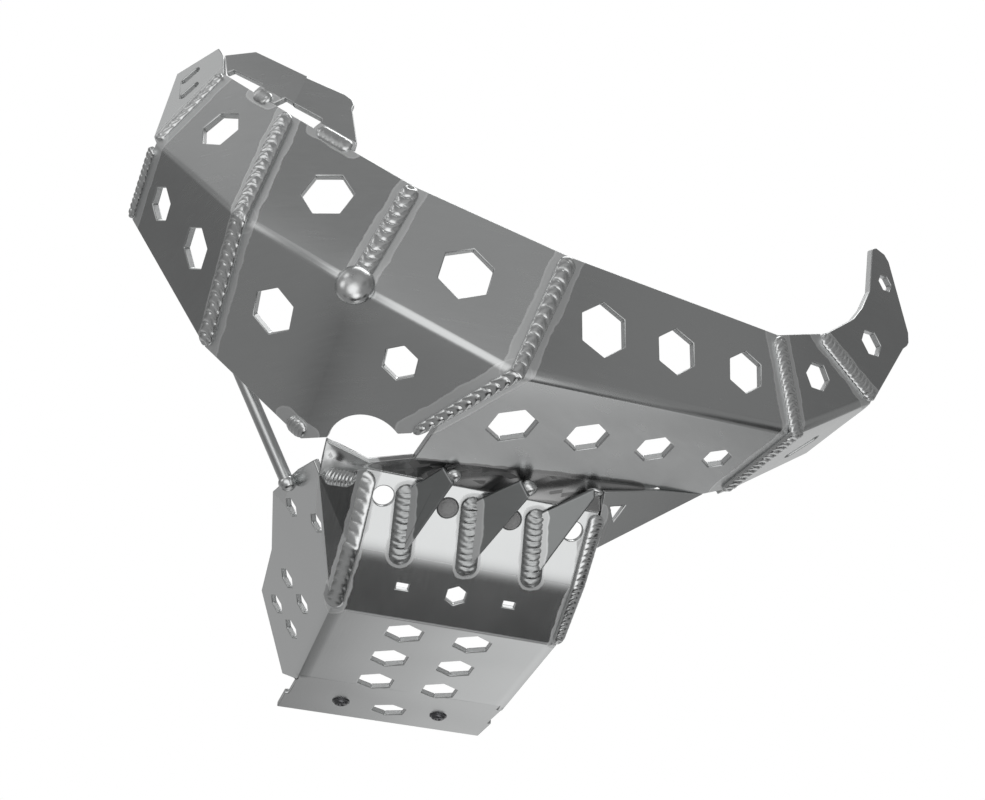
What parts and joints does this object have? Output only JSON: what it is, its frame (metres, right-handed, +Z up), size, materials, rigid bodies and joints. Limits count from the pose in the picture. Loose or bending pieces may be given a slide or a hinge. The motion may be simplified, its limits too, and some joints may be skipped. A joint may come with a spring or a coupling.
{
  "type": "motorcycle skid plate",
  "caption": "Welded aluminium skid plate: a folded tray under the engine, a faceted exhaust pipe guard across its front with hexagonal holes, and screws through the rear lip.",
  "frame": {"origin": "midway between the two rear screws, on the upper face of the rear lip", "axes": "+Z up along the screws, +Y towards the rear of the motorcycle, +X to the right seen from the front"},
  "size_m": [0.5676, 0.4093, 0.362],
  "materials": {
    "tray_sheet": "satin sheet with a fine brushed grain",
    "guard_sheet": "satin sheet with a fine brushed grain",
    "weld": "rippled weld bead with a frosted edge",
    "rod": "drawn round bar",
    "screw": "black oxide",
    "pad": "rough moulded rubber"
  },
  "bodies": {
    "root": {"skid_tray": "tray_sheet", "gusset_left": "tray_sheet", "gusset_centre": "tray_sheet", "gusset_right": "tray_sheet", "right_support": "tray_sheet", "guard_left_panel": "guard_sheet", "guard_centre_panel": "guard_sheet", "guard_right_panel": "guard_sheet", "guard_tail_panel": "guard_sheet", "left_end_plate": "guard_sheet", "right_end_plate": "guard_sheet", "top_flange": "guard_sheet", "stay_rod": "rod", "rear_screws": "screw", "frame_pads": "pad", "weld_left_end": "weld", "weld_seam_left": "weld", "weld_seam_centre": "weld", "weld_seam_right": "weld", "weld_seam_tail": "weld", "weld_right_end": "weld", "weld_corner_left": "weld", "weld_corner_right": "weld", "weld_gusset_left": "weld", "weld_gusset_centre": "weld", "weld_gusset_right": "weld", "weld_flange_left": "weld", "weld_flange_right": "weld", "weld_left_edge": "weld", "weld_oval": "weld", "weld_sill": "weld", "weld_rod_foot": "weld", "weld_tip_left": "weld", "weld_tip_centre": "weld", "weld_tip_right": "weld"}
  },
  "joints": []
}
